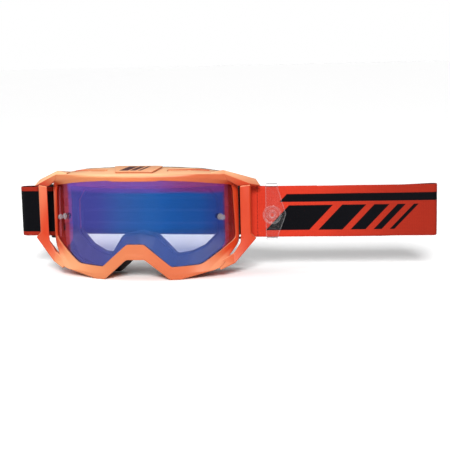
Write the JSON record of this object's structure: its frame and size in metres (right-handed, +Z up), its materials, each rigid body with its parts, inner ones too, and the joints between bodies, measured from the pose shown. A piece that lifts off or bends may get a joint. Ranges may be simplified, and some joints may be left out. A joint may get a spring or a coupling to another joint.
{
  "type": "motocross goggles",
  "caption": "Motocross goggles with an outrigger frame, mirrored cylindrical lens, layered face foam and an elastic strap with a sliding clear adjuster, strap folded to one side.",
  "frame": {"origin": "bottom centre of the bounding box of the whole object as it stands, strap included", "axes": "+X along the folded strap towards its long side, which is the viewer's right, +Y from the lens towards the wearer's face, +Z up"},
  "size_m": [0.3764, 0.0728, 0.097],
  "materials": {
    "frame_plastic": "satin moulded",
    "badge_plastic": "satin",
    "lens_mirror": "mirror coated",
    "post_clear": "gloss",
    "washer_black": "matte",
    "foam_firm": "open-cell foam",
    "foam_soft": "open-cell foam",
    "fleece": "brushed fleece",
    "filter_foam": "open-cell foam",
    "webbing": "woven elastic",
    "grip_silicone": "semi-gloss silicone",
    "anchor_plastic": "satin",
    "adjuster_clear": "clear gloss",
    "button_clear": "clear gloss"
  },
  "bodies": {
    "goggles": {"frame": "frame_plastic", "brow_badge": "badge_plastic", "lens": "lens_mirror", "tear_off_post_left": "post_clear", "tear_off_post_right": "post_clear", "tear_off_washer_left": "washer_black", "tear_off_washer_right": "washer_black", "foam_base": "foam_firm", "foam_middle": "foam_soft", "foam_face_fleece": "fleece", "strap": "webbing", "strap_grip_line_1": "grip_silicone", "strap_grip_line_2": "grip_silicone", "strap_grip_line_3": "grip_silicone", "strap_anchor_left": "anchor_plastic", "strap_anchor_right": "anchor_plastic", "top_vent_filter_left_inner": "filter_foam", "top_vent_filter_left_outer": "filter_foam", "side_vent_filter_left_upper": "filter_foam", "side_vent_filter_left_lower": "filter_foam", "bottom_vent_filter_left": "filter_foam", "top_vent_filter_right_inner": "filter_foam", "top_vent_filter_right_outer": "filter_foam", "side_vent_filter_right_upper": "filter_foam", "side_vent_filter_right_lower": "filter_foam", "bottom_vent_filter_right": "filter_foam"},
    "adjuster": {"strap_adjuster": "adjuster_clear", "adjuster_button": "button_clear"}
  },
  "joints": [
    {"name": "adjuster_slide", "type": "slide", "parent": "goggles", "child": "adjuster", "axis": [0.9974, 0.0715, 0], "range_m": [-0.005, 0.11]}
  ]
}
